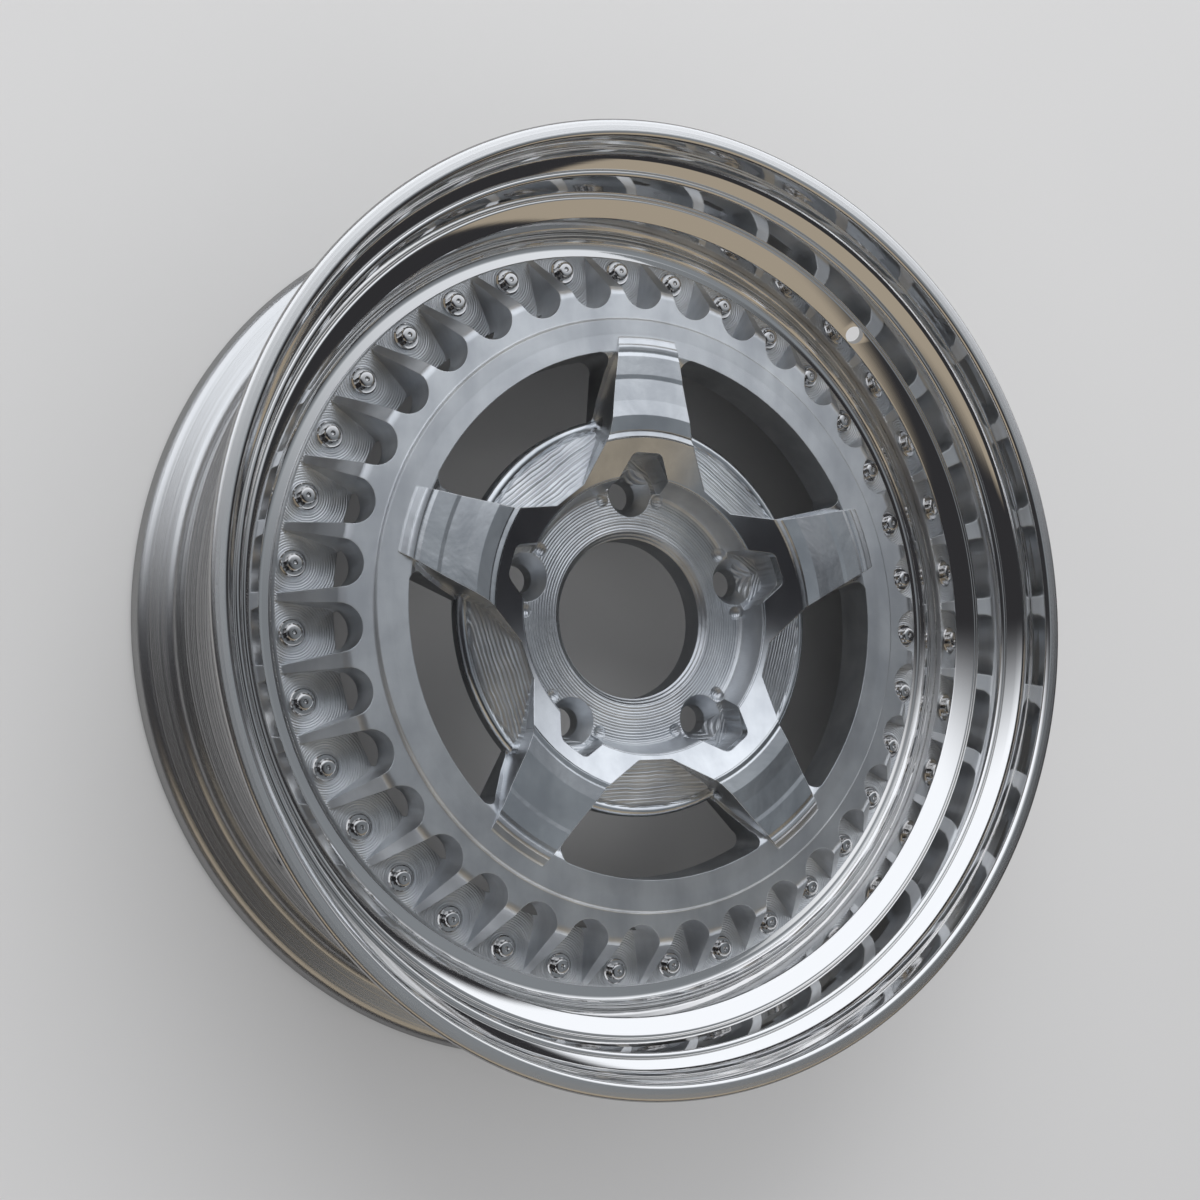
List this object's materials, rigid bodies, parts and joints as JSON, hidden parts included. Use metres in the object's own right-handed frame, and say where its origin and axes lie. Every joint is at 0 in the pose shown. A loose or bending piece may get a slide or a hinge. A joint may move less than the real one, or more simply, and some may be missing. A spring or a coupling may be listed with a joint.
{
  "type": "split rim wheel",
  "caption": "Three-piece split rim car wheel: machined spoked centre bolted between a deep polished stepped lip and a bare inner barrel.",
  "frame": {"origin": "on the wheel's axis, in the plane of the hub mounting face", "axes": "+Z along the axle, out of the visible face; +Y from the axis along the first spoke and wheel bolt hole"},
  "size_m": [0.415, 0.415, 0.1341],
  "materials": {
    "polished_alloy": "mirror polished",
    "spun_alloy": "brushed",
    "machined_alloy": "bare, with tool marks",
    "sealant": "matte",
    "chromed_bolts": "polished",
    "plated_nuts": "zinc plated"
  },
  "bodies": {
    "root": {"outer_lip": "polished_alloy", "inner_barrel": "spun_alloy", "wheel_centre": "machined_alloy", "joint_sealant": "sealant", "assembly_bolts": "chromed_bolts", "assembly_nuts": "plated_nuts"}
  },
  "joints": []
}
